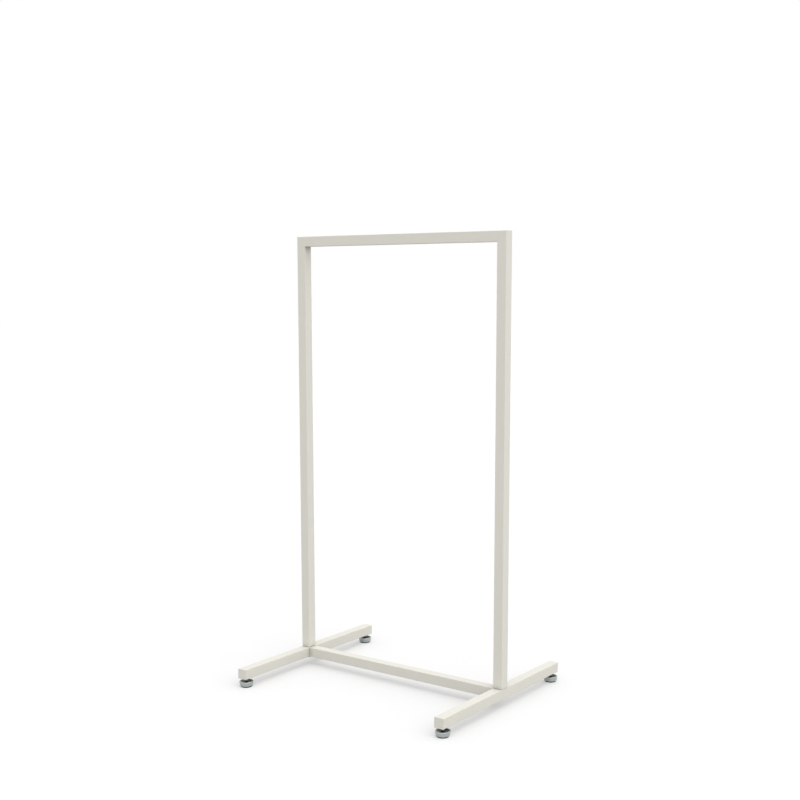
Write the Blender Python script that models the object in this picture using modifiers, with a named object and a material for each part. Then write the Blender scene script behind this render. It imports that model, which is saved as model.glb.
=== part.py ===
"""Free-standing partition wall frame.

A portal of square steel tube stands on two foot bars that are tied together by a bottom rail.
Each foot bar rests on two swivel levelling feet.

Frame of reference: origin on the floor below the middle of the frame, +Z up, +X to the right
and -Y to the front. All sizes are in metres.
"""

from math import acos, cos, pi, radians, sin, sqrt

import bmesh
import bpy
from mathutils import Vector

# Overall sizes
HEIGHT = 1.800            # floor to the top of the portal
WIDTH = 1.000             # over the outer faces of the uprights and foot bars
DEPTH = 0.830             # over the end plates of a foot bar
FLOOR_GAP = 0.036         # floor to the underside of the foot bars and bottom rail

# Square tube, shared by every member of the frame
TUBE = 0.040
WALL = 0.002
TUBE_CORNER = 0.0015      # corner radius, outside and in the bore
CORNER_STEPS = 3
END_PLATE = 0.003         # plate that closes a foot bar's end

# Gap left between pieces that touch, and clearance round a thread
JOINT_GAP = 0.0003
THREAD_GAP = 0.0003

# Joint between an upright and its foot bar
BOLT_DIA = 0.010
BOLT_HOLE_CLEARANCE = 0.0005
BOLT_HEAD_EDGE = 0.003    # head beyond the shank, across flats
BOLT_HEAD_HEIGHT = 0.0064
WASHER_RING = 0.0075      # ring width from hole to edge
WASHER_THICK = 0.002
PLUG_HEIGHT = 0.025       # threaded plug inside the upright's lower end
BOLT_END_MARGIN = 0.002   # bolt end below the plug's top

# Sole and pad of a levelling foot
SOLE_DIA = 0.044
SOLE_SHOWN = 0.0045       # part of the sole below the pad
SOLE_RECESS = 0.001       # part of the sole inside the pad
SOLE_CHAMFER = 0.0006
PAD_SKIRT = 0.003         # pad beyond the sole at its base
PAD_FLARE = 0.0035        # rim beyond the base
PAD_RIM_BAND = 0.003      # upright band below the rim
PAD_RIM_WIDTH = 0.0035
PAD_DISH_DEPTH = 0.0045
PAD_HUB_MARGIN = 0.003    # level floor of the dish beyond the collar's corners
PAD_FLOOR = 0.0011        # metal between the ball's socket and the sole
PAD_CHAMFER = 0.0008

# Stud of a levelling foot, with its ball, spanner collar, jam nut and insert
THREAD_DIA = 0.010
BALL_DIA = 0.012
BALL_GAP = 0.0003
NECK_DIA = 0.008
NECK_GAP = 0.0006
SOCKET_LIP = 0.001        # cylindrical mouth above the ball's socket
COLLAR_EDGE = 0.002       # collar beyond the thread, across flats
COLLAR_HEIGHT = 0.004
COLLAR_LIFT = 0.0005      # collar above the dish
STUD_ROOM = 0.008         # stud's end to the upper wall of the foot bar
STUD_CHAMFER = 0.001
JAM_NUT_EDGE = 0.0035     # nut beyond the thread, across flats
JAM_NUT_HEIGHT = 0.005
INSERT_WALL = 0.0012
INSERT_FLANGE = 0.001
INSERT_FLANGE_EDGE = 0.0015
INSERT_LENGTH = 0.018
FOOT_INSET = 0.025        # foot axis from the foot bar's end

# Facets
ROUND_STEPS = 24
BALL_STEPS = 6
SMOOTH_ANGLE = radians(35)
MERGE_DISTANCE = 0.00001

# Sizes that follow
BASE_TOP = FLOOR_GAP + TUBE
MEMBER_X = (WIDTH - TUBE) / 2
FOOT_Y = DEPTH / 2 - FOOT_INSET
THREAD_BORE = THREAD_DIA + 2 * THREAD_GAP
INSERT_DIA = THREAD_BORE + 2 * INSERT_WALL
COLLAR_FLATS = THREAD_DIA + 2 * COLLAR_EDGE
PAD_BASE_DIA = SOLE_DIA + 2 * PAD_SKIRT
PAD_RIM_DIA = PAD_BASE_DIA + 2 * PAD_FLARE

# The ball's socket stands on the pad's floor, and the dish starts just above its mouth
SOCKET = BALL_DIA / 2 + BALL_GAP
MOUTH = NECK_DIA / 2 + NECK_GAP
BALL_CENTRE = SOLE_SHOWN + SOLE_RECESS + JOINT_GAP + PAD_FLOOR + SOCKET
DISH = BALL_CENTRE + sqrt(SOCKET ** 2 - MOUTH ** 2) + SOCKET_LIP

SIDES = {"left": -1, "right": 1}
ENDS = {"front": -1, "back": 1}


def clear_scene():
    for obj in list(bpy.data.objects):
        bpy.data.objects.remove(obj, do_unlink=True)


def new_collection(name):
    collection = bpy.data.collections.new(name)
    bpy.context.scene.collection.children.link(collection)
    return collection


def new_material(name, color, roughness, metallic):
    material = bpy.data.materials.new(name)
    material.use_nodes = True
    shader = material.node_tree.nodes["Principled BSDF"]
    shader.inputs["Base Color"].default_value = (*color, 1.0)
    shader.inputs["Roughness"].default_value = roughness
    shader.inputs["Metallic"].default_value = metallic
    material.diffuse_color = (*color, 1.0)
    return material


def add_object(name, bm, material, location, rotation=(0, 0, 0), parent=None):
    """Turn a bmesh into a named part of the partition wall."""
    mesh = bpy.data.meshes.new(name)
    bm.to_mesh(mesh)
    bm.free()
    mesh.shade_smooth()
    mesh.set_sharp_from_angle(angle=SMOOTH_ANGLE)
    mesh.materials.append(material)
    obj = bpy.data.objects.new(name, mesh)
    obj.location = location
    obj.rotation_euler = rotation
    obj.parent = parent
    PARTS.objects.link(obj)
    return obj


def add_tool(name, bm, location, rotation=(0, 0, 0), parent=None):
    """Turn a bmesh into a hidden body that shapes a part through a Boolean."""
    mesh = bpy.data.meshes.new(name)
    bm.to_mesh(mesh)
    bm.free()
    obj = bpy.data.objects.new(name, mesh)
    obj.location = location
    obj.rotation_euler = rotation
    obj.parent = parent
    obj.hide_render = True
    obj.display_type = 'WIRE'
    TOOLS.objects.link(obj)
    return obj


def add_axis(name, location):
    """Empty on which the pieces of one levelling foot turn and slide."""
    empty = bpy.data.objects.new(name, None)
    empty.location = location
    empty.empty_display_size = TUBE
    PARTS.objects.link(empty)
    return empty


def combine(obj, tool, operation):
    modifier = obj.modifiers.new(tool.name, 'BOOLEAN')
    modifier.object = tool
    modifier.operation = operation
    modifier.solver = 'EXACT'


def square_block(side, length):
    """Square bar from z = 0 to z = length, with sharp edges."""
    bm = bmesh.new()
    bmesh.ops.create_cube(bm, size=1.0)
    bmesh.ops.scale(bm, vec=(side, side, length), verts=bm.verts)
    bmesh.ops.translate(bm, vec=(0, 0, length / 2), verts=bm.verts)
    return bm


def long_edges(bm):
    return [e for e in bm.edges if e.verts[0].co.z != e.verts[1].co.z]


def square_bar(side, corner, length):
    """Square bar from z = 0 to z = length, with rounded long edges."""
    bm = square_block(side, length)
    bmesh.ops.bevel(bm, geom=long_edges(bm), offset=corner, segments=CORNER_STEPS,
                    affect='EDGES', profile=0.5)
    return bm


def square_tube(name, length, location, rotation=(0, 0, 0)):
    """Open square tube that starts at location and runs along its local Z.

    The bevel weight of the long edges goes through Solidify to the bore's corners too.
    """
    bm = square_block(TUBE, length)
    weight = bm.edges.layers.float.new("bevel_weight_edge")
    for edge in long_edges(bm):
        edge[weight] = 1.0
    ends = [f for f in bm.faces if abs(f.normal.z) > 0.5]
    bmesh.ops.delete(bm, geom=ends, context='FACES')
    obj = add_object(name, bm, PAINT, location, rotation)
    wall = obj.modifiers.new("wall", 'SOLIDIFY')
    wall.thickness = WALL
    wall.offset = -1
    wall.use_even_offset = True
    corner = obj.modifiers.new("corner", 'BEVEL')
    corner.width = TUBE_CORNER
    corner.segments = CORNER_STEPS
    corner.limit_method = 'WEIGHT'
    return obj


def prism(diameter, bottom, top, steps):
    """Upright prism round the Z axis; diameter is taken over the corners."""
    bm = bmesh.new()
    bmesh.ops.create_cone(bm, cap_ends=True, segments=steps, radius1=diameter / 2,
                          radius2=diameter / 2, depth=top - bottom)
    bmesh.ops.translate(bm, vec=(0, 0, (top + bottom) / 2), verts=bm.verts)
    return bm


def hex_corners(flats):
    return flats / cos(pi / 6)


def hexagon(flats, bottom, top):
    return prism(hex_corners(flats), bottom, top, 6)


def turned(profile, closed):
    """Profile of a turned piece as a wire of (radius, height) points in the XZ plane."""
    bm = bmesh.new()
    verts = [bm.verts.new((radius, 0, height)) for radius, height in profile]
    for first, second in zip(verts, verts[1:]):
        bm.edges.new((first, second))
    if closed:
        bm.edges.new((verts[-1], verts[0]))
    return bm


def spin(obj):
    """Sweep a turned profile once round the Z axis."""
    screw = obj.modifiers.new("turn", 'SCREW')
    screw.axis = 'Z'
    screw.angle = 2 * pi
    screw.steps = ROUND_STEPS
    screw.render_steps = ROUND_STEPS
    screw.use_merge_vertices = True
    screw.merge_threshold = MERGE_DISTANCE
    screw.use_smooth_shade = True


def mitre_tool(name, side, outward):
    """Block that cuts a member at 45 degrees in the top corner.

    outward is +1 for the block that cuts an upright and -1 for the one that cuts the top rail.
    """
    size = 3 * TUBE
    normal = Vector((-side, 0, 1)).normalized() * outward
    middle = Vector((side * MEMBER_X, 0, HEIGHT - TUBE / 2))
    bm = bmesh.new()
    bmesh.ops.create_cube(bm, size=size)
    return add_tool(name, bm, middle + normal * (size - JOINT_GAP) / 2, (0, radians(45), 0))


def build_portal():
    """Two uprights and a top rail, mitred in the top corners."""
    rail = square_tube("top_rail", WIDTH, (-WIDTH / 2, 0, HEIGHT - TUBE / 2), (0, radians(90), 0))
    foot = BASE_TOP + JOINT_GAP
    for name, side in SIDES.items():
        upright = square_tube(f"{name}_upright", HEIGHT - foot, (side * MEMBER_X, 0, foot))
        combine(upright, mitre_tool(f"cut_{name}_upright", side, 1), 'DIFFERENCE')
        combine(rail, mitre_tool(f"cut_top_rail_{name}", side, -1), 'DIFFERENCE')


def build_base():
    """Two foot bars with end plates, and the bottom rail between them."""
    middle = FLOOR_GAP + TUBE / 2
    rail_length = WIDTH - 2 * TUBE - 2 * JOINT_GAP
    square_tube("bottom_rail", rail_length, (-rail_length / 2, 0, middle), (0, radians(90), 0))
    bar_length = DEPTH - 2 * END_PLATE - 2 * JOINT_GAP
    hole = BOLT_DIA + 2 * BOLT_HOLE_CLEARANCE
    insert_hole = INSERT_DIA + 2 * JOINT_GAP
    for name, side in SIDES.items():
        x = side * MEMBER_X
        bar = square_tube(f"{name}_foot_bar", bar_length, (x, -bar_length / 2, middle),
                          (radians(-90), 0, 0))
        bolt_cut = prism(hole, FLOOR_GAP - TUBE, BASE_TOP + TUBE, ROUND_STEPS)
        combine(bar, add_tool(f"cut_{name}_bolt", bolt_cut, (x, 0, 0)), 'DIFFERENCE')
        for end, way in ENDS.items():
            insert_cut = prism(insert_hole, FLOOR_GAP - TUBE / 2, middle, ROUND_STEPS)
            tool = add_tool(f"cut_{end}_{name}_insert", insert_cut, (x, way * FOOT_Y, 0))
            combine(bar, tool, 'DIFFERENCE')
            plate = square_bar(TUBE, TUBE_CORNER, END_PLATE)
            start = way * DEPTH / 2
            turn = (radians(90 * way), 0, 0)
            add_object(f"end_plate_{end}_{name}", plate, PAINT, (x, start, middle), turn)


def build_base_bolts():
    """Plug in each upright's lower end, and the bolt and washer that hold it from below."""
    plug_side = TUBE - 2 * WALL - 2 * JOINT_GAP
    plug_foot = BASE_TOP + JOINT_GAP
    washer_top = FLOOR_GAP - JOINT_GAP
    washer_bottom = washer_top - WASHER_THICK
    washer_hole = BOLT_DIA / 2 + BOLT_HOLE_CLEARANCE
    washer_edge = washer_hole + WASHER_RING
    head_flats = BOLT_DIA + 2 * BOLT_HEAD_EDGE
    head_top = washer_bottom - JOINT_GAP
    head_bottom = head_top - BOLT_HEAD_HEIGHT
    head_middle = (head_top + head_bottom) / 2
    bolt_top = plug_foot + PLUG_HEIGHT - BOLT_END_MARGIN
    shank = BOLT_DIA / 2
    bolt_side = [(0, bolt_top), (shank - STUD_CHAMFER, bolt_top), (shank, bolt_top - STUD_CHAMFER),
                 (shank, head_middle), (0, head_middle)]
    ring = [(washer_edge, washer_top), (washer_edge, washer_bottom),
            (washer_hole, washer_bottom), (washer_hole, washer_top)]
    for name, side in SIDES.items():
        place = (side * MEMBER_X, 0, 0)
        plug = add_object(f"upright_plug_{name}", square_bar(plug_side, TUBE_CORNER, PLUG_HEIGHT),
                          STEEL, (place[0], 0, plug_foot))
        bore_cut = prism(BOLT_DIA + 2 * THREAD_GAP, FLOOR_GAP, BASE_TOP + 2 * TUBE, ROUND_STEPS)
        combine(plug, add_tool(f"cut_{name}_plug", bore_cut, place), 'DIFFERENCE')
        bolt = add_object(f"base_bolt_{name}", turned(bolt_side, False), STEEL, place)
        spin(bolt)
        head = add_tool(f"head_{name}", hexagon(head_flats, head_bottom, head_top), place)
        combine(bolt, head, 'UNION')
        spin(add_object(f"base_washer_{name}", turned(ring, True), STEEL, place))


def arc(radius, centre, start, end):
    """Points of an arc about (0, centre), from angle start to angle end, ends included."""
    angles = [start + (end - start) * step / BALL_STEPS for step in range(BALL_STEPS + 1)]
    return [(radius * cos(angle), centre + radius * sin(angle)) for angle in angles]


def pad_profile():
    """Tapered pad: dished top with a ball socket, recessed underside for the sole."""
    top = DISH + PAD_DISH_DEPTH
    rim = PAD_RIM_DIA / 2
    base = PAD_BASE_DIA / 2
    hub = hex_corners(COLLAR_FLATS) / 2 + PAD_HUB_MARGIN
    recess = SOLE_DIA / 2 + JOINT_GAP
    recess_top = SOLE_SHOWN + SOLE_RECESS + JOINT_GAP
    profile = arc(SOCKET, BALL_CENTRE, -pi / 2, acos(MOUTH / SOCKET))
    profile[0] = (0, BALL_CENTRE - SOCKET)
    profile += [(MOUTH, DISH), (hub, DISH), (rim - PAD_RIM_WIDTH, top), (rim - PAD_CHAMFER, top),
                (rim, top - PAD_CHAMFER), (rim, top - PAD_RIM_BAND),
                (base, SOLE_SHOWN + PAD_CHAMFER), (base - PAD_CHAMFER, SOLE_SHOWN),
                (recess, SOLE_SHOWN), (recess, recess_top), (0, recess_top)]
    return profile


def stud_profile():
    """Threaded stud with a neck and a ball at its lower end."""
    top = BASE_TOP - WALL - STUD_ROOM
    thread = THREAD_DIA / 2
    neck = NECK_DIA / 2
    ball = BALL_DIA / 2
    collar_middle = DISH + COLLAR_LIFT + COLLAR_HEIGHT / 2
    profile = [(0, top), (thread - STUD_CHAMFER, top), (thread, top - STUD_CHAMFER),
               (thread, collar_middle), (neck, collar_middle)]
    profile += arc(ball, BALL_CENTRE, acos(neck / ball), -pi / 2)
    profile[-1] = (0, BALL_CENTRE - ball)
    return profile


def sole_profile():
    top = SOLE_SHOWN + SOLE_RECESS
    radius = SOLE_DIA / 2
    return [(0, top), (radius, top), (radius, SOLE_CHAMFER), (radius - SOLE_CHAMFER, 0), (0, 0)]


def insert_profile():
    """Threaded insert: a flange below the foot bar and a body inside it."""
    flange_top = FLOOR_GAP - JOINT_GAP
    flange_bottom = flange_top - INSERT_FLANGE
    top = FLOOR_GAP + INSERT_LENGTH
    bore = THREAD_BORE / 2
    body = INSERT_DIA / 2
    flange = body + INSERT_FLANGE_EDGE
    return [(body, top), (body, flange_top), (flange, flange_top), (flange, flange_bottom),
            (bore, flange_bottom), (bore, top)]


def add_turned(name, profile, closed, material, axis):
    """Turned piece of a levelling foot, on the foot's axis."""
    obj = add_object(name, turned(profile, closed), material, (0, 0, 0), parent=axis)
    spin(obj)
    return obj


def build_foot(place, x, y):
    """One levelling foot on its own axis, with the insert and jam nut that hold it."""
    axis = add_axis(f"foot_axis_{place}", (x, y, 0))
    add_turned(f"foot_sole_{place}", sole_profile(), False, RUBBER, axis)
    add_turned(f"foot_pad_{place}", pad_profile(), False, PLATED, axis)
    add_turned(f"foot_insert_{place}", insert_profile(), True, PLATED, axis)
    stud = add_turned(f"foot_stud_{place}", stud_profile(), False, PLATED, axis)
    collar_bottom = DISH + COLLAR_LIFT
    collar = hexagon(COLLAR_FLATS, collar_bottom, collar_bottom + COLLAR_HEIGHT)
    combine(stud, add_tool(f"collar_{place}", collar, (0, 0, 0), parent=axis), 'UNION')
    nut_top = FLOOR_GAP - INSERT_FLANGE - 2 * JOINT_GAP
    nut_body = hexagon(THREAD_DIA + 2 * JAM_NUT_EDGE, nut_top - JAM_NUT_HEIGHT, nut_top)
    nut = add_object(f"jam_nut_{place}", nut_body, PLATED, (0, 0, 0), parent=axis)
    bore = prism(THREAD_BORE, nut_top - TUBE, nut_top + TUBE, ROUND_STEPS)
    combine(nut, add_tool(f"cut_jam_nut_{place}", bore, (0, 0, 0), parent=axis), 'DIFFERENCE')


clear_scene()
PARTS = new_collection("partition_wall")
TOOLS = new_collection("partition_wall_tools")
PAINT = new_material("powder_coat", (0.68, 0.66, 0.60), 0.45, 0.0)
PLATED = new_material("plated_steel", (0.55, 0.58, 0.56), 0.25, 1.0)
STEEL = new_material("bright_steel", (0.50, 0.50, 0.50), 0.35, 1.0)
RUBBER = new_material("black_rubber", (0.02, 0.02, 0.02), 0.7, 0.0)

build_portal()
build_base()
build_base_bolts()
for side_name, side_way in SIDES.items():
    for end_name, end_way in ENDS.items():
        build_foot(f"{end_name}_{side_name}", side_way * MEMBER_X, end_way * FOOT_Y)
bpy.context.view_layer.update()
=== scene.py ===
"""A free-standing partition wall frame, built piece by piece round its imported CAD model.

A portal of white powder-coated square tube stands on two foot bars and a bottom rail, and the
foot bars stand on four swivel levelling feet. All sizes are in metres.
"""

import math

import bmesh
import bpy
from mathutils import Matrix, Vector


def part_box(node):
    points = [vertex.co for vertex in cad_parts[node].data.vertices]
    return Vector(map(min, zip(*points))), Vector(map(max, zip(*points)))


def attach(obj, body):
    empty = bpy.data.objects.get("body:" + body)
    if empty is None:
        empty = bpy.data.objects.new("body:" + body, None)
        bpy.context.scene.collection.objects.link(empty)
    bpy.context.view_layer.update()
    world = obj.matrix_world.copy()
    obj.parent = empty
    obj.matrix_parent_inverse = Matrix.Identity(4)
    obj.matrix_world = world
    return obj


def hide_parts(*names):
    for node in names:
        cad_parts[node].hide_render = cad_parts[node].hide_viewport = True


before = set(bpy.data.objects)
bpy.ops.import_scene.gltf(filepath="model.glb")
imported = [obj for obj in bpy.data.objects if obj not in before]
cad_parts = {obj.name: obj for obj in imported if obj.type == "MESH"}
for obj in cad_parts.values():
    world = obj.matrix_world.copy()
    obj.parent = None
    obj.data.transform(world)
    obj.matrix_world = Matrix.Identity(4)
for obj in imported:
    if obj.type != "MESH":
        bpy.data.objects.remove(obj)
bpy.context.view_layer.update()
scene = bpy.context.scene
bpy.ops.object.select_all(action="DESELECT")

# ---------------------------------------------------------------------------------------------
# The studio: a wide matt white floor with a faint glow of its own, which throws little light
# back up, and a white backdrop. A light tent that is brighter on the right and one large soft
# lamp high in front light the frame.

LENS = 55.857
SENSOR = 36
LENS_SHIFT = 0.0753
CAMERA_PLACE = (2.8865, -3.9238, 1.6028)
CAMERA_YAW = math.radians(36.276)
CAMERA_DIP = math.radians(8.015)
CAMERA_ROLL = math.radians(0.089)
CAMERA_NEAREST = 0.05
CAMERA_FARTHEST = 200
FLOOR_SIZE = 80
FLOOR_WHITE = 0.62
FLOOR_GLOW = 0.20           # light of its own, seen only by the camera
FLOOR_BOUNCE = 0.34         # the same floor, in the light that it throws back up
TENT_LIGHT = 1.05
TENT_SIDE_LIGHT = 0.25      # added on the right and taken off on the left
BACKDROP_WHITE = 1.0
LAMP_FROM = Vector((0.5, -0.35, 0.79))
LAMP_DISTANCE = 5
LAMP_STRENGTH = 1.07
LAMP_WIDTH = math.radians(75)

bpy.ops.object.camera_add(location=CAMERA_PLACE)
camera = bpy.context.object
camera.name = "studio_camera"
camera.rotation_euler = (math.pi / 2 - CAMERA_DIP, CAMERA_ROLL, CAMERA_YAW)
camera.data.sensor_width = SENSOR
camera.data.lens = LENS
camera.data.shift_y = LENS_SHIFT
camera.data.clip_start = CAMERA_NEAREST
camera.data.clip_end = CAMERA_FARTHEST
scene.camera = camera
scene.view_settings.view_transform = "Standard"


class Value:
    """A value that comes out of a node; a sum on it adds its Math node."""

    def __init__(self, finish, socket):
        self.finish = finish
        self.socket = socket

    def sum(self, operation, first, second):
        return self.finish.node("ShaderNodeMath", {"operation": operation}, {0: first, 1: second})

    def __add__(self, other):
        return self.sum("ADD", self, other)

    def __rsub__(self, other):
        return self.sum("SUBTRACT", other, self)

    def __mul__(self, other):
        return self.sum("MULTIPLY", self, other)

    def __pow__(self, other):
        return self.sum("POWER", self, other)

    __radd__ = __add__
    __rmul__ = __mul__


class Finish:
    """A surface finish, or the light tent, as shader nodes."""

    def __init__(self, owner):
        owner.use_nodes = True
        self.owner = owner
        self.tree = owner.node_tree
        self.tree.nodes.clear()

    def node(self, kind, settings=None, sockets=None, out=0):
        """Add a node: its settings first, then a value or a link for each socket."""
        made = self.tree.nodes.new(kind)
        for name, setting in (settings or {}).items():
            setattr(made, name, setting)
        for name, value in (sockets or {}).items():
            if isinstance(value, Value):
                self.tree.links.new(value.socket, made.inputs[name])
            else:
                made.inputs[name].default_value = value
        if made.outputs:
            return Value(self, made.outputs[out])

    def mix(self, share, first, second):
        """A colour between two others; share is 0 for the first and 1 for the second.

        A Mix node has a pair of inputs for each kind of value, and the colours' are 6 and 7.
        """
        sockets = {"Factor": share, 6: first, 7: second}
        return self.node("ShaderNodeMix", {"data_type": "RGBA"}, sockets, 2)

    def noise(self, place, scale, detail=2.0):
        """Soft blotches from 0 to 1, scale of them to the metre."""
        sockets = {"Vector": place, "Scale": scale, "Detail": detail}
        return self.node("ShaderNodeTexNoise", {}, sockets)

    def bump(self, strength, depth, height):
        """Small relief of a surface; depth is in metres, and height runs from 0 to 1."""
        sockets = {"Strength": strength, "Distance": depth, "Height": height}
        return self.node("ShaderNodeBump", {}, sockets)


def grey(level):
    """Grey as a colour, from 0 for black to 1 for white."""
    return (level, level, level, 1)


bpy.ops.mesh.primitive_plane_add(size=FLOOR_SIZE)
floor = bpy.context.object
floor.name = "studio_floor"
floor_white = Finish(bpy.data.materials.new("floor_white"))
bounced = floor_white.node("ShaderNodeLightPath", out="Is Diffuse Ray")
floor_colour = floor_white.mix(bounced, grey(FLOOR_WHITE), grey(FLOOR_BOUNCE))
matt = floor_white.node("ShaderNodeBsdfDiffuse", {}, {"Color": floor_colour})
viewed = floor_white.node("ShaderNodeLightPath", out="Is Camera Ray")
glow = floor_white.node("ShaderNodeEmission", {}, {"Color": grey(1), "Strength": viewed * FLOOR_GLOW})
lit_floor = floor_white.node("ShaderNodeAddShader", {}, {0: matt, 1: glow})
floor_white.node("ShaderNodeOutputMaterial", {}, {"Surface": lit_floor})
floor.data.materials.append(floor_white.owner)

tent = Finish(bpy.data.worlds.new("light_tent"))
scene.world = tent.owner
towards = tent.node("ShaderNodeTexCoord", out="Generated")
rightwards = tent.node("ShaderNodeSeparateXYZ", {}, {"Vector": towards}, "X")
tent_light = rightwards * TENT_SIDE_LIGHT + TENT_LIGHT
lit = tent.node("ShaderNodeBackground", {}, {"Color": grey(1), "Strength": tent_light})
backdrop = tent.node("ShaderNodeBackground", {}, {"Color": grey(1), "Strength": BACKDROP_WHITE})
seen = tent.node("ShaderNodeLightPath", out="Is Camera Ray")
world_mix = tent.node("ShaderNodeMixShader", {}, {"Fac": seen, 1: lit, 2: backdrop})
tent.node("ShaderNodeOutputWorld", {}, {"Surface": world_mix})

bpy.ops.object.light_add(type="SUN", location=LAMP_FROM * LAMP_DISTANCE)
lamp = bpy.context.object
lamp.name = "soft_lamp"
lamp.rotation_euler = LAMP_FROM.to_track_quat("Z", "Y").to_euler()
lamp.data.energy = LAMP_STRENGTH
lamp.data.angle = LAMP_WIDTH
bpy.ops.object.select_all(action="DESELECT")

# ---------------------------------------------------------------------------------------------
# The portal: two uprights and a top rail of 40 x 40 x 2 mm welded square steel tube, mitred in
# the top corners, welded and ground flush, then powder-coated warm white with the whole frame.
# Inside corners and joints are darkened as painted shade, the more so the more closed in they are.

TUBE = 0.040
WALL = 0.002
TUBE_CORNER = 0.0015        # radius of the long edges, outside and in the bore
CORNER_STEPS = 6
EDGE_BREAK = 0.0002         # rounding of other sharp edges, where no width is given
JOINT_CHAMFER = 0.0012      # at the tube ends that stand against another bar
SMOOTH_ANGLE = math.radians(30)
SAME_PLACE = 1e-6           # points closer than this are one point
SAME_PLACE_IN_CUT = 1e-7
NEARLY = 0.99               # share of a run or a normal that lies along its axis
CHAMFERED_RUN = 0.5         # the same, for a corner edge that crosses a chamfer
X, Y, Z = 0, 1, 2
WARM_WHITE = (0.700, 0.680, 0.615, 1)
WARM_WHITE_THIN = (0.672, 0.652, 0.588, 1)
CORNER_SHADE_COLOUR = (0.30, 0.29, 0.255, 1)
CORNER_REACH = 0.030        # how far out of a corner the painted shade reaches
CORNER_SHARE = 1.5          # how dark the painted shade gets in the corner
CORNER_FALL = 1.5           # how fast it clears towards the open face
CORNER_SAMPLES = 8
CLOUD_SCALE = 7             # blotches to the metre, here and in each scale below
GRAIN_SCALE = 1800
PEEL_SCALE = 620
RIPPLE_SCALE = 95
PEEL_DEPTH = 0.00012
PEEL_STRENGTH = 0.30
PAINT_ROUGHNESS = 0.40      # at its smoothest
PAINT_IOR = 1.5

powder_coat = Finish(bpy.data.materials.new("warm_white_powder_coat"))
place = powder_coat.node("ShaderNodeTexCoord", out="Object")
clouding = powder_coat.noise(place, CLOUD_SCALE, 3)
grains = powder_coat.noise(place, GRAIN_SCALE, 1)
orange_peel = powder_coat.noise(place, PEEL_SCALE)
ripple = powder_coat.noise(place, RIPPLE_SCALE, 1)
thinness = clouding * 0.7 + grains * 0.3
open_paint = powder_coat.mix(thinness, WARM_WHITE, WARM_WHITE_THIN)
# Painted shade: the base colour darkens towards inside corners, by how closed in they are.
openness = powder_coat.node(
    "ShaderNodeAmbientOcclusion", {"samples": CORNER_SAMPLES}, {"Distance": CORNER_REACH}, "AO"
)
painted_corner_shade = powder_coat.node(
    "ShaderNodeClamp", {}, {"Value": (1 - openness) ** CORNER_FALL * CORNER_SHARE}
)
paint = powder_coat.mix(painted_corner_shade, open_paint, CORNER_SHADE_COLOUR)
peel_height = orange_peel * 0.6 + ripple * 0.4
peel = powder_coat.bump(PEEL_STRENGTH, PEEL_DEPTH, peel_height)
painted = powder_coat.node(
    "ShaderNodeBsdfPrincipled",
    {},
    {
        "Base Color": paint,
        "Roughness": PAINT_ROUGHNESS + 0.12 * clouding + 0.06 * grains,
        "IOR": PAINT_IOR,
        "Normal": peel,
    },
)
powder_coat.node("ShaderNodeOutputMaterial", {}, {"Surface": painted})


def pick(piece, kind, test):
    """Select the faces or edges of the piece in hand that pass a test on their place or run."""
    bpy.ops.mesh.select_mode(type=kind)
    bpy.ops.mesh.select_all(action="DESELECT")
    shape = bmesh.from_edit_mesh(piece.data)
    for part in shape.faces if kind == "FACE" else shape.edges:
        if test(part):
            part.select = True
    shape.select_flush_mode()
    bmesh.update_edit_mesh(piece.data)


def runs_along(edge, axis, share=NEARLY):
    """True if an edge runs along an axis, by at least a share of its length."""
    run = edge.verts[1].co - edge.verts[0].co
    return abs(run[axis]) > share * run.length


def lies_at(edge, axis, place):
    """True if both ends of an edge lie at a place on an axis."""
    return all(abs(v.co[axis] - place) < SAME_PLACE for v in edge.verts)


def take_in_hand(piece):
    """Make a piece the only one selected."""
    bpy.ops.object.select_all(action="DESELECT")
    piece.select_set(True)
    bpy.context.view_layer.objects.active = piece


def settle(piece, name):
    """Name a new primitive and put its place in its mesh."""
    piece.name = name
    piece.data.name = name
    bpy.ops.object.transform_apply(location=True, rotation=True, scale=True)


def apply(piece, kind, **settings):
    """Add a modifier to a piece and apply it."""
    take_in_hand(piece)
    bpy.ops.object.modifier_add(type=kind)
    modifier = piece.modifiers[-1]
    for name, setting in settings.items():
        setattr(modifier, name, setting)
    bpy.ops.object.modifier_apply(modifier=modifier.name)


def break_edges(piece, width=EDGE_BREAK, steps=2):
    """Round every sharp edge a little, and let the flat faces shade flat."""
    apply(
        piece,
        "BEVEL",
        width=width,
        segments=steps,
        limit_method="ANGLE",
        angle_limit=SMOOTH_ANGLE,
        use_clamp_overlap=True,
    )
    bpy.ops.object.shade_smooth()
    apply(piece, "WEIGHTED_NORMAL", keep_sharp=True, weight=80)


def square_sleeve(name, low, high, along):
    """Four flat sides between two corners, with sharp long edges and open ends."""
    low, high = Vector(low), Vector(high)
    bpy.ops.mesh.primitive_cube_add(size=1, location=(low + high) / 2, scale=high - low)
    piece = bpy.context.object
    settle(piece, name)
    bpy.ops.object.mode_set(mode="EDIT")
    pick(piece, "FACE", lambda face: abs(face.normal[along]) > 0.5)
    bpy.ops.mesh.delete(type="FACE")
    bpy.ops.object.mode_set(mode="OBJECT")
    return piece


def round_corners(piece, along):
    """Round the long edges of a piece, and where they run in over a chamfer at its end."""
    take_in_hand(piece)
    bpy.ops.object.mode_set(mode="EDIT")
    pick(piece, "EDGE", lambda edge: runs_along(edge, along, CHAMFERED_RUN))
    bpy.ops.mesh.bevel(offset=TUBE_CORNER, segments=CORNER_STEPS, affect="EDGES")
    bpy.ops.object.mode_set(mode="OBJECT")


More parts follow.
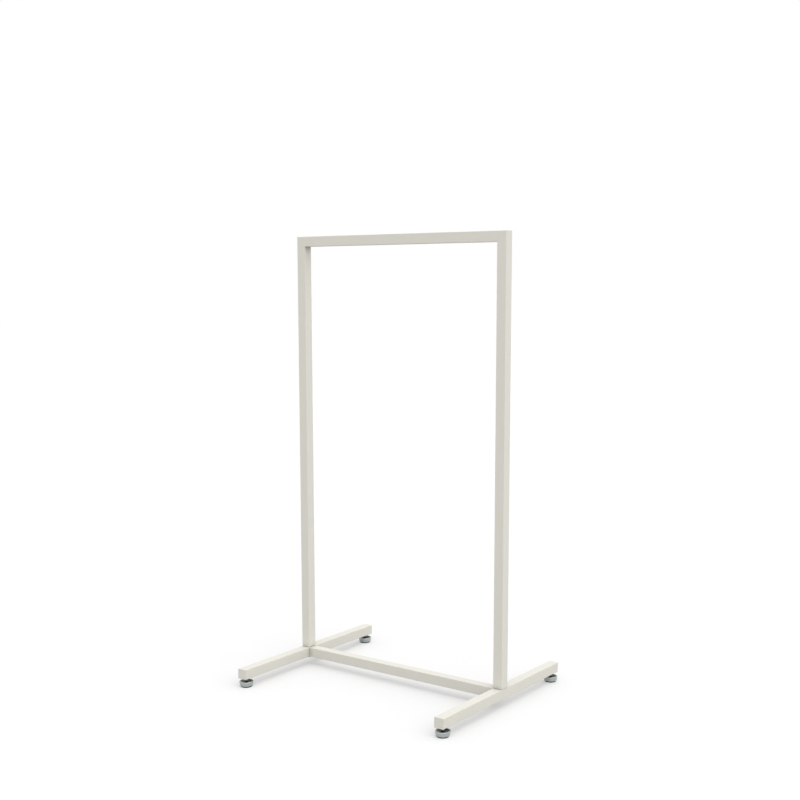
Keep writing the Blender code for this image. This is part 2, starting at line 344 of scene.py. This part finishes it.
def chamfer_end(piece, along, end, inward):
    """Turn in one end of a sleeve, which leaves a groove where it meets the next bar."""
    across = 1 - 2 * JOINT_CHAMFER / TUBE
    plane = Vector((0, 0, 0))
    plane[along] = end + inward * JOINT_CHAMFER
    normal = Vector((0, 0, 0))
    normal[along] = 1
    bpy.ops.object.mode_set(mode="EDIT")
    bpy.ops.mesh.select_all(action="SELECT")
    bpy.ops.mesh.bisect(plane_co=plane, plane_no=normal, threshold=SAME_PLACE_IN_CUT)
    pick(piece, "EDGE", lambda edge: lies_at(edge, along, end))
    bpy.ops.transform.resize(value=[1 if axis == along else across for axis in (X, Y, Z)])
    bpy.ops.object.mode_set(mode="OBJECT")


def square_tube(name, low, high, along, chamfer_low=False, chamfer_high=False):
    """Length of square tube between two corners, rounded outside and in the bore."""
    piece = square_sleeve(name, low, high, along)
    if chamfer_low:
        chamfer_end(piece, along, low[along], 1)
    if chamfer_high:
        chamfer_end(piece, along, high[along], -1)
    apply(piece, "SOLIDIFY", thickness=WALL, offset=-1, use_even_offset=True)
    round_corners(piece, along)
    return piece


def saw(piece, through, outward):
    """Saw a piece straight across; what lies outward of the cut drops off."""
    take_in_hand(piece)
    bpy.ops.object.mode_set(mode="EDIT")
    bpy.ops.mesh.select_all(action="SELECT")
    bpy.ops.mesh.bisect(
        plane_co=through,
        plane_no=outward,
        use_fill=True,
        clear_outer=True,
        threshold=SAME_PLACE_IN_CUT,
    )
    bpy.ops.object.mode_set(mode="OBJECT")


def hand_over(piece, finish, body, slot, *nodes):
    """Finish a piece, and say which body it rides on and which CAD nodes it stands for."""
    piece.data.materials.clear()
    piece.data.materials.append(finish.owner)
    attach(piece, body)
    if nodes:
        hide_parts(*nodes)
    bpy.ops.object.select_all(action="DESELECT")


half_width, _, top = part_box("top_rail")[1]
member_x = half_width - TUBE / 2
foot_of = {side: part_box(f"{side}_upright")[0].z for side in ("left", "right")}
sides = {"left": -1, "right": 1}

rail = square_tube(
    "top_rail_tube", (-half_width, -TUBE / 2, top - TUBE), (half_width, TUBE / 2, top), X
)
for side, way in sides.items():
    corner = Vector((way * member_x, 0, top - TUBE / 2))
    saw(rail, corner, (way, 0, -1))
break_edges(rail)
hand_over(rail, powder_coat, "frame", "powder_coat", "top_rail")

for side, way in sides.items():
    x = way * member_x
    low = (x - TUBE / 2, -TUBE / 2, foot_of[side])
    high = (x + TUBE / 2, TUBE / 2, top)
    upright = square_tube(f"{side}_upright_tube", low, high, Z, chamfer_low=True)
    saw(upright, (x, 0, top - TUBE / 2), (-way, 0, 1))
    break_edges(upright)
    hand_over(upright, powder_coat, "frame", "powder_coat", f"{side}_upright")

# ---------------------------------------------------------------------------------------------
# The foot bars: the same tube, each with a steel plate welded over both ends and ground flush.
# The lower wall is bored for the levelling feet's inserts, and both walls for the base bolt.

INSERT_HOLE = 0.0136        # the insert and its fit
BOLT_HOLE = 0.011
FOOT_INSET = 0.025
HOLE_STEPS = 48
PLATE_ROUND = 0.0007        # band round the plate where the weld was ground flush

bar_low, bar_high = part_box("left_foot_bar")
plate_low, plate_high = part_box("end_plate_front_left")
bar_bottom, bar_top = bar_low.z, bar_high.z
bar_end = -plate_low.y
plate_back = -plate_high.y
foot_y = bar_end - FOOT_INSET
ends = {"front": -1, "back": 1}


def bore(piece, diameter, x, y, low, high):
    """Drill a piece upright, from one height to another."""
    bpy.ops.mesh.primitive_cylinder_add(
        vertices=HOLE_STEPS,
        radius=diameter / 2,
        depth=high - low,
        location=(x, y, (low + high) / 2),
    )
    drill = bpy.context.object
    apply(piece, "BOOLEAN", object=drill, operation="DIFFERENCE", solver="EXACT")
    bpy.data.objects.remove(drill)


for side, way in sides.items():
    x = way * member_x
    low = (x - TUBE / 2, -plate_back, bar_bottom)
    bar = square_tube(f"{side}_foot_bar_tube", low, (x + TUBE / 2, plate_back, bar_top), Y)
    bore(bar, BOLT_HOLE, x, 0, bar_bottom - TUBE, bar_top + TUBE)
    for end_way in ends.values():
        bore(bar, INSERT_HOLE, x, end_way * foot_y, bar_bottom - TUBE, bar_bottom + TUBE / 2)
    break_edges(bar)
    hand_over(bar, powder_coat, "frame", "powder_coat", f"{side}_foot_bar")
    for end, end_way in ends.items():
        edges = sorted((end_way * plate_back, end_way * bar_end))
        low = (x - TUBE / 2, edges[0], bar_bottom)
        high = (x + TUBE / 2, edges[1], bar_top)
        plate = square_sleeve(f"{side}_{end}_plate", low, high, Y)
        round_corners(plate, Y)
        bpy.ops.object.mode_set(mode="EDIT")
        pick(plate, "EDGE", lambda edge: not runs_along(edge, Y))
        bpy.ops.mesh.edge_face_add()
        pick(plate, "FACE", lambda face: face.normal.y * end_way > NEARLY)
        bpy.ops.mesh.inset(thickness=PLATE_ROUND)
        bpy.ops.object.mode_set(mode="OBJECT")
        break_edges(plate)
        hand_over(plate, powder_coat, "frame", "powder_coat", f"end_plate_{end}_{side}")

# ---------------------------------------------------------------------------------------------
# The bottom rail: the same tube, cut square, chamfered and welded between the foot bars. A small
# bead lies low in the groove on all four sides of the joint.

BEAD = 0.0009               # the bead's radius
BEAD_SUNK = 0.0013          # its middle below the tube's faces
BEAD_STEP = 0.0013          # length of one ripple
BEAD_SLICES = 4
BEAD_SIDES = 12
BEAD_DIP = 0.90             # width between ripples, to the width on them
BEAD_END_INSET = 0.3        # the ends' rounding, to the bead's radius
BEAD_END_RISE = 0.35

low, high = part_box("bottom_rail")
bottom_rail = square_tube("bottom_rail_tube", low, high, X, True, True)
break_edges(bottom_rail)
hand_over(bottom_rail, powder_coat, "frame", "powder_coat", "bottom_rail")


def weld_bead(start, end, radius):
    """Bead of weld laid along a corner, with one ripple for each step of the torch."""
    start, end = Vector(start), Vector(end)
    ripples = round((end - start).length / BEAD_STEP)
    step = (end - start).length / ripples
    bpy.ops.mesh.primitive_cylinder_add(
        vertices=BEAD_SIDES,
        radius=radius,
        depth=step,
        end_fill_type="NOTHING",
        location=(0, 0, step / 2),
    )
    bead = bpy.context.object
    settle(bead, "bead")
    bpy.ops.object.mode_set(mode="EDIT")
    pick(bead, "EDGE", lambda edge: runs_along(edge, Z))
    bpy.ops.mesh.subdivide(number_cuts=BEAD_SLICES - 1)
    for slice_end in (0, step):
        pick(bead, "EDGE", lambda edge: lies_at(edge, Z, slice_end))
        bpy.ops.transform.resize(value=(BEAD_DIP, BEAD_DIP, 1))
    bpy.ops.object.mode_set(mode="OBJECT")
    apply(
        bead,
        "ARRAY",
        count=ripples,
        use_relative_offset=False,
        use_constant_offset=True,
        constant_offset_displace=(0, 0, step),
        use_merge_vertices=True,
        merge_threshold=SAME_PLACE,
    )
    bpy.ops.object.mode_set(mode="EDIT")
    for run_end in (0, ripples * step):
        pick(bead, "EDGE", lambda edge: lies_at(edge, Z, run_end))
        bpy.ops.mesh.edge_face_add()
        bpy.ops.mesh.inset(thickness=radius * BEAD_END_INSET)
        outward = 1 if run_end else -1
        bpy.ops.transform.translate(value=(0, 0, outward * radius * BEAD_END_RISE))
    bpy.ops.object.mode_set(mode="OBJECT")
    bead.rotation_euler = (end - start).to_track_quat("Z", "Y").to_euler()
    bead.location = start
    bpy.ops.object.transform_apply(location=True, rotation=True, scale=True)
    return bead


def join(name, pieces):
    """Join loose parts into one piece."""
    bpy.ops.object.select_all(action="DESELECT")
    for part in pieces:
        part.select_set(True)
    bpy.context.view_layer.objects.active = pieces[0]
    bpy.ops.object.join()
    piece = bpy.context.object
    piece.name = name
    piece.data.name = name
    return piece


for side, way in sides.items():
    x = way * (member_x - TUBE / 2)
    flat = TUBE / 2 - TUBE_CORNER
    low_in_groove = TUBE / 2 - BEAD_SUNK
    middle = (bar_bottom + bar_top) / 2
    beads = []
    for y in (-low_in_groove, low_in_groove):
        beads.append(weld_bead((x, y, middle - flat), (x, y, middle + flat), BEAD))
        beads.append(weld_bead((x, -flat, middle + y), (x, flat, middle + y), BEAD))
    welds = join(f"{side}_rail_welds", beads)
    bpy.ops.object.shade_smooth()
    hand_over(welds, powder_coat, "frame", "powder_coat")

# ---------------------------------------------------------------------------------------------
# The base joints: a bright steel M10 bolt and plain washer under each foot bar, driven up into a
# tapped steel plug that is welded inside the upright's lower end. The plug can't be seen.

BOLT = 0.010
BOLT_FLATS = 0.016
BOLT_EDGE = 0.00025         # rounding of the forged edges
HEX_CHAMFER = 0.95          # flat end's diameter, to the size across flats
CHAMFER_SLOPE = math.tan(math.radians(30))
LATHE_ROOM = 1.1            # width of the cut, to the size across corners
WASHER_BORE = 0.011
WASHER_EDGE = 0.00035
FIT_GAP = 0.0003            # between pieces that touch
TURN_STEPS = 96
SHANK_CHAMFER = 0.001
BRIGHT_STEEL = (0.56, 0.56, 0.55, 1)
DULL_STEEL = (0.44, 0.44, 0.43, 1)
SMEAR_SCALE = 240
SCRATCH_SCALE = 1500
SCRATCH_DEPTH = 0.00005
SCRATCH_STRENGTH = 0.25
STEEL_ROUGHNESS = 0.28

bright_steel = Finish(bpy.data.materials.new("plain_bright_steel"))
place = bright_steel.node("ShaderNodeTexCoord", out="Object")
smear = bright_steel.noise(place, SMEAR_SCALE, 3)
scratch = bright_steel.noise(place, SCRATCH_SCALE, 4)
steel_colour = bright_steel.mix(smear, BRIGHT_STEEL, DULL_STEEL)
steel_bump = bright_steel.bump(SCRATCH_STRENGTH, SCRATCH_DEPTH, scratch)
steel = bright_steel.node(
    "ShaderNodeBsdfPrincipled",
    {},
    {
        "Base Color": steel_colour,
        "Metallic": 1.0,
        "Roughness": STEEL_ROUGHNESS + 0.14 * smear,
        "Normal": steel_bump,
    },
)
bright_steel.node("ShaderNodeOutputMaterial", {}, {"Surface": steel})


def draw(name, start, moves):
    """Draw a line in the XZ plane from a (radius, height) point, and stay in edit mode."""
    bpy.ops.mesh.primitive_plane_add(size=0.001, location=(start[0], 0, start[1]))
    piece = bpy.context.object
    settle(piece, name)
    bpy.ops.object.mode_set(mode="EDIT")
    bpy.ops.mesh.select_mode(type="VERT")
    bpy.ops.mesh.select_all(action="SELECT")
    bpy.ops.mesh.merge(type="CENTER")
    for outward, upward in moves:
        bpy.ops.mesh.extrude_region_move(TRANSFORM_OT_translate={"value": (outward, 0, upward)})
    return piece


def close_up():
    """Merge the seam and poles of the swept piece in hand, and face it outwards."""
    bpy.ops.mesh.select_all(action="SELECT")
    bpy.ops.mesh.remove_doubles(threshold=SAME_PLACE)
    bpy.ops.mesh.normals_make_consistent(inside=False)
    bpy.ops.object.mode_set(mode="OBJECT")


def turned(name, profile):
    """Piece turned about the Z axis from (radius, height) points; a ring's points close."""
    moves = [(to[0] - at[0], to[1] - at[1]) for at, to in zip(profile, profile[1:])]
    piece = draw(name, profile[0], moves)
    bpy.ops.mesh.select_all(action="SELECT")
    bpy.ops.mesh.spin(steps=TURN_STEPS, angle=math.tau, center=(0, 0, 0), axis=(0, 0, 1))
    close_up()
    return piece


def hexagon(name, flats, bottom, top, chamfer_top=True):
    """Hexagon bar cut to length, its corners chamfered in the lathe."""
    corner = flats / math.sqrt(3)
    bpy.ops.mesh.primitive_cylinder_add(
        vertices=6, radius=corner, depth=top - bottom, location=(0, 0, (top + bottom) / 2)
    )
    piece = bpy.context.object
    settle(piece, name)
    face = flats / 2 * HEX_CHAMFER
    wide = corner * LATHE_ROOM
    drop = (wide - face) * CHAMFER_SLOPE
    envelope = [(0, bottom), (face, bottom), (wide, bottom + drop)]
    if chamfer_top:
        envelope += [(wide, top - drop), (face, top), (0, top)]
    else:
        envelope += [(wide, top + drop), (0, top + drop)]
    lathe = turned("lathe", envelope)
    apply(piece, "BOOLEAN", object=lathe, operation="INTERSECT", solver="EXACT")
    bpy.data.objects.remove(lathe)
    return piece


def fuse(piece, other):
    """Make two closed parts one solid. The EXACT solver leaves the thread open in places."""
    apply(piece, "BOOLEAN", object=other, operation="UNION", solver="MANIFOLD")
    bpy.data.objects.remove(other)


def note_axis(piece):
    """Note each point's place from the piece's own axis, which lathe marks follow."""
    mesh = piece.data
    note = mesh.attributes.new("from_axis", "FLOAT_VECTOR", "POINT")
    note.data.foreach_set("vector", [number for v in mesh.vertices for number in v.co])


def fit(piece, name, x, y):
    """Copy a piece that was made on the middle axis to its place, with its own mesh."""
    take_in_hand(piece)
    bpy.ops.object.duplicate(linked=False)
    copy = bpy.context.object
    copy.location = (x, y, 0)
    settle(copy, name)
    return copy


low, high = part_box("base_bolt_left")
washer_low, washer_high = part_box("base_washer_left")
washer_radius = (washer_high.x - washer_low.x) / 2
head_top = washer_low.z - FIT_GAP
bolt = hexagon("bolt", BOLT_FLATS, low.z, head_top, chamfer_top=False)
shank = [
    (0, (low.z + head_top) / 2),
    (BOLT / 2, (low.z + head_top) / 2),
    (BOLT / 2, high.z - SHANK_CHAMFER),
    (BOLT / 2 - SHANK_CHAMFER, high.z),
    (0, high.z),
]
fuse(bolt, turned("shank", shank))
break_edges(bolt, BOLT_EDGE)
note_axis(bolt)
ring = [
    (WASHER_BORE / 2, washer_low.z),
    (washer_radius, washer_low.z),
    (washer_radius, washer_high.z),
    (WASHER_BORE / 2, washer_high.z),
    (WASHER_BORE / 2, washer_low.z),
]
washer = turned("washer", ring)
break_edges(washer, WASHER_EDGE)
note_axis(washer)
for side, way in sides.items():
    x = way * member_x
    copy = fit(bolt, f"{side}_base_bolt", x, 0)
    hand_over(copy, bright_steel, "frame", "bright_steel", f"base_bolt_{side}")
    copy = fit(washer, f"{side}_base_washer", x, 0)
    hand_over(copy, bright_steel, "frame", "bright_steel", f"base_washer_{side}")
    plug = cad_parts[f"upright_plug_{side}"]
    plug.data.materials.clear()
    plug.data.materials.append(bright_steel.owner)
bpy.data.objects.remove(bolt)
bpy.data.objects.remove(washer)

# ---------------------------------------------------------------------------------------------
# The inserts and jam nuts: an M10 threaded insert is pressed into the bar under each end, with
# its thin flange below, and a zinc-plated jam nut locks the stud against it. The same plating is
# on the whole foot, painted dark in the pad's dish round the ball joint as shade under the bar.

THREAD = 0.010
THREAD_BORE = 0.0106
INSERT_BODY = 0.013
JAM_FLATS = 0.017
COUNTERSINK = 0.0007        # at both ends of the nut's bore
ZINC = (0.58, 0.63, 0.61, 1)
ZINC_DULL = (0.44, 0.485, 0.465, 1)
DISH_SHADE = (0.030, 0.033, 0.032, 1)
DISH_SHADE_EDGE = (0.0235, 0.0248)  # radius where the painted shade fades out on the dish
DISH_SHADE_FOOT = (0.0172, 0.0182)  # height where it starts
DISH_SHADE_TOP = (0.0232, 0.0262)  # height where it ends, on the stud
MARK_SCALE = 4200
MARK_DEPTH = 0.00002
MARK_STRENGTH = 0.25
BLOOM_SCALE = 260
ZINC_ROUGHNESS = 0.14

bright_zinc = Finish(bpy.data.materials.new("bright_zinc_plate"))
own = bright_zinc.node("ShaderNodeAttribute", {"attribute_name": "from_axis"}, out="Vector")
split = bright_zinc.node("ShaderNodeSeparateXYZ", {}, {"Vector": own}, "X")
across = Value(bright_zinc, split.socket.node.outputs["Y"])
height = Value(bright_zinc, split.socket.node.outputs["Z"])
radius = (split * split + across * across) ** 0.5
lathe_place = bright_zinc.node("ShaderNodeCombineXYZ", {}, {"X": radius, "Z": height})
marks = bright_zinc.noise(lathe_place, MARK_SCALE)
bloom = bright_zinc.noise(own, BLOOM_SCALE, 3)
plating = bright_zinc.mix(bloom, ZINC, ZINC_DULL)


def fade(value, limits, before, after):
    """A value of the zinc's own that changes softly between two limits."""
    sockets = {"Value": value, "From Min": limits[0], "From Max": limits[1]}
    sockets.update({"To Min": before, "To Max": after})
    return bright_zinc.node("ShaderNodeMapRange", {"interpolation_type": "SMOOTHSTEP"}, sockets)


# Painted shade: the dish and the stud's foot are coloured dark and not metal, where the bar shades
# them.
near_axis = fade(radius, DISH_SHADE_EDGE, 1, 0)
above_dish = fade(height, DISH_SHADE_FOOT, 0, 1)
below_nut = fade(height, DISH_SHADE_TOP, 1, 0)
painted_dish_shade = near_axis * above_dish * below_nut
zinc_colour = bright_zinc.mix(painted_dish_shade, plating, DISH_SHADE)
zinc_bump = bright_zinc.bump(MARK_STRENGTH, MARK_DEPTH, marks)
zinc = bright_zinc.node(
    "ShaderNodeBsdfPrincipled",
    {},
    {
        "Base Color": zinc_colour,
        "Metallic": 1 - painted_dish_shade,
        "Roughness": ZINC_ROUGHNESS + 0.12 * bloom + 0.06 * marks + 0.15 * painted_dish_shade,
        "Normal": zinc_bump,
    },
)
bright_zinc.node("ShaderNodeOutputMaterial", {}, {"Surface": zinc})


def nut(name, flats, bottom, top, bore_size):
    """Chamfered hexagon nut with a countersunk bore."""
    piece = hexagon(name, flats, bottom, top)
    inner = bore_size / 2
    outer = inner + COUNTERSINK
    drill = turned(
        "drill",
        [
            (0, bottom - COUNTERSINK),
            (outer + COUNTERSINK, bottom - COUNTERSINK),
            (inner, bottom + COUNTERSINK),
            (inner, top - COUNTERSINK),
            (outer + COUNTERSINK, top + COUNTERSINK),
            (0, top + COUNTERSINK),
        ],
    )
    apply(piece, "BOOLEAN", object=drill, operation="DIFFERENCE", solver="EXACT")
    bpy.data.objects.remove(drill)
    return piece


insert_low, insert_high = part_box("foot_insert_front_left")
flange = (insert_high.x - insert_low.x) / 2
flange_top = bar_bottom - FIT_GAP
insert = turned(
    "insert",
    [
        (THREAD_BORE / 2, insert_low.z),
        (flange, insert_low.z),
        (flange, flange_top),
        (INSERT_BODY / 2, flange_top),
        (INSERT_BODY / 2, insert_high.z),
        (THREAD_BORE / 2, insert_high.z),
        (THREAD_BORE / 2, insert_low.z),
    ],
)
break_edges(insert)
note_axis(insert)
nut_low, nut_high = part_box("jam_nut_front_left")
jam_nut = nut("jam_nut", JAM_FLATS, nut_low.z, nut_high.z, THREAD_BORE)
break_edges(jam_nut)
note_axis(jam_nut)
feet = {
    f"{end}_{side}": (way * member_x, end_way * foot_y)
    for side, way in sides.items()
    for end, end_way in ends.items()
}
for foot, (x, y) in feet.items():
    copy = fit(insert, f"{foot}_insert", x, y)
    hand_over(copy, bright_zinc, "frame", "plated_steel", f"foot_insert_{foot}")
    copy = fit(jam_nut, f"{foot}_jam_nut", x, y)
    hand_over(copy, bright_zinc, "frame", "plated_steel", f"jam_nut_{foot}")
bpy.data.objects.remove(insert)
bpy.data.objects.remove(jam_nut)

# ---------------------------------------------------------------------------------------------
# The studs: zinc-plated M10 steel rod with a rolled thread, a hexagon collar for the spanner,
# and a neck and ball below it that swivel in the pad. Turning the stud raises or lowers the bar.

PITCH = 0.0015
THREAD_DEPTH = 0.0009
THREAD_HALF_ANGLE = math.radians(30)
THREAD_STEPS = 48
RUN_IN = 1.5                # turns of thread below the cut, which are sawn off
SPARE_TURNS = 3             # turns for the run-in and for the cut at the top
COLLAR_FLATS = 0.014
COLLAR_HEIGHT = 0.004
COLLAR_BOTTOM = 0.0190
BALL = 0.012
BALL_STEPS = 12
NECK = 0.008

stud_low, stud_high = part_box("foot_stud_front_left")
ball_centre = stud_low.z + BALL / 2


def arc(radius, centre, start, end):
    """Points round part of a ball, as (radius, height), from one angle to another."""
    angles = [start + (end - start) * step / BALL_STEPS for step in range(BALL_STEPS + 1)]
    return [(radius * math.cos(a), centre + radius * math.sin(a)) for a in angles]


root = THREAD / 2 - THREAD_DEPTH
flank = THREAD_DEPTH * math.tan(THREAD_HALF_ANGLE)
root_flat = PITCH / 4
crest_flat = PITCH - root_flat - 2 * flank
one_turn = [
    (0, root_flat / 2),
    (THREAD_DEPTH, flank),
    (0, crest_flat),
    (-THREAD_DEPTH, flank),
    (0, root_flat / 2),
]
start = COLLAR_BOTTOM + COLLAR_HEIGHT / 2
turns = math.ceil((stud_high.z - start) / PITCH) + SPARE_TURNS
stud = draw("stud", (root, start - RUN_IN * PITCH), one_turn)
bpy.ops.object.mode_set(mode="OBJECT")
apply(
    stud,
    "SCREW",
    axis="Z",
    angle=math.tau,
    screw_offset=PITCH,
    iterations=turns,
    steps=THREAD_STEPS,
    render_steps=THREAD_STEPS,
)
bpy.ops.object.mode_set(mode="EDIT")
close_up()
saw(stud, (0, 0, start), (0, 0, -1))
saw(stud, (0, 0, stud_high.z), (0, 0, 1))
collar = hexagon("collar", COLLAR_FLATS, COLLAR_BOTTOM, COLLAR_BOTTOM + COLLAR_HEIGHT)
ball = arc(BALL / 2, ball_centre, -math.pi / 2, math.acos(NECK / BALL))
ball[0] = (0, stud_low.z)
neck_top = COLLAR_BOTTOM + COLLAR_HEIGHT / 4
fuse(collar, turned("ball", ball + [(NECK / 2, neck_top), (0, neck_top)]))
break_edges(collar)
fuse(stud, collar)
take_in_hand(stud)
bpy.ops.object.shade_smooth_by_angle(angle=SMOOTH_ANGLE)
note_axis(stud)
for foot, (x, y) in feet.items():
    copy = fit(stud, f"{foot}_stud", x, y)
    hand_over(copy, bright_zinc, f"stud_{foot}", "plated_steel", f"foot_stud_{foot}")
bpy.data.objects.remove(stud)

# ---------------------------------------------------------------------------------------------
# The pads: turned from steel and zinc plated, 57 mm across the rim and 50 mm at the base, with
# a dished top round the ball's socket and a recess below that holds the rubber sole.

SOCKET = 0.0063
MOUTH = 0.0046
DISH = 0.0185
DISH_FLOOR = 0.0111         # radius of the level floor round the mouth
RIM_WIDTH = 0.0035
RIM_BAND = 0.003
BASE_RADIUS = 0.025
RECESS_RADIUS = 0.0223
PAD_CHAMFER = 0.0008
PAD_EDGE = 0.0003

pad_low, pad_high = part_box("foot_pad_front_left")
base, pad_top = pad_low.z, pad_high.z
rim = (pad_high.x - pad_low.x) / 2
sole_low, sole_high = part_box("foot_sole_front_left")
recess_top = sole_high.z + FIT_GAP
socket = arc(SOCKET, ball_centre, -math.pi / 2, math.acos(MOUTH / SOCKET))
socket[0] = (0, ball_centre - SOCKET)
pad = turned(
    "pad",
    socket
    + [
        (MOUTH, DISH),
        (DISH_FLOOR, DISH),
        (rim - RIM_WIDTH, pad_top),
        (rim - PAD_CHAMFER, pad_top),
        (rim, pad_top - PAD_CHAMFER),
        (rim, pad_top - RIM_BAND),
        (BASE_RADIUS, base + PAD_CHAMFER),
        (BASE_RADIUS - PAD_CHAMFER, base),
        (RECESS_RADIUS, base),
        (RECESS_RADIUS, recess_top),
        (0, recess_top),
    ],
)
break_edges(pad, PAD_EDGE, 3)
note_axis(pad)
for foot, (x, y) in feet.items():
    copy = fit(pad, f"{foot}_pad", x, y)
    hand_over(copy, bright_zinc, f"foot_{foot}", "plated_steel", f"foot_pad_{foot}")
bpy.data.objects.remove(pad)

# ---------------------------------------------------------------------------------------------
# The soles: discs of black rubber moulded with shallow rings below for grip, and bonded into
# the recess under each pad, so that 4.5 mm of rubber shows all round.

SOLE_CHAMFER = 0.0006
SOLE_EDGE = 0.00025
GRIP_RINGS = 4
GRIP_DEPTH = 0.0005
GRIP_WIDTH = 0.0012
RUBBER_BLACK = (0.016, 0.017, 0.016, 1)
RUBBER_WORN = (0.040, 0.041, 0.040, 1)
SKIN_SCALE = 2600
SKIN_DEPTH = 0.00008
SKIN_STRENGTH = 0.4
CHALK_SCALE = 160
RUBBER_ROUGHNESS = 0.62

black_rubber = Finish(bpy.data.materials.new("moulded_black_rubber"))
own = black_rubber.node("ShaderNodeAttribute", {"attribute_name": "from_axis"}, out="Vector")
skin = black_rubber.noise(own, SKIN_SCALE)
chalk = black_rubber.noise(own, CHALK_SCALE, 3)
rubber_colour = black_rubber.mix(chalk * skin, RUBBER_BLACK, RUBBER_WORN)
rubber_bump = black_rubber.bump(SKIN_STRENGTH, SKIN_DEPTH, skin)
rubber = black_rubber.node(
    "ShaderNodeBsdfPrincipled",
    {},
    {
        "Base Color": rubber_colour,
        "Roughness": RUBBER_ROUGHNESS + 0.2 * chalk,
        "Normal": rubber_bump,
    },
)
black_rubber.node("ShaderNodeOutputMaterial", {}, {"Surface": rubber})

sole_radius = (sole_high.x - sole_low.x) / 2
profile = [(0, sole_high.z), (sole_radius, sole_high.z), (sole_radius, SOLE_CHAMFER)]
profile.append((sole_radius - SOLE_CHAMFER, 0))
spacing = sole_radius / (GRIP_RINGS + 1)
for ring_number in range(GRIP_RINGS, 0, -1):
    groove = ring_number * spacing
    profile += [
        (groove + GRIP_WIDTH, 0),
        (groove + GRIP_WIDTH / 2, GRIP_DEPTH),
        (groove - GRIP_WIDTH / 2, GRIP_DEPTH),
        (groove - GRIP_WIDTH, 0),
    ]
profile.append((0, 0))
sole = turned("sole", profile)
break_edges(sole, SOLE_EDGE)
note_axis(sole)
for foot, (x, y) in feet.items():
    copy = fit(sole, f"{foot}_sole", x, y)
    hand_over(copy, black_rubber, f"foot_{foot}", "black_rubber", f"foot_sole_{foot}")
bpy.data.objects.remove(sole)
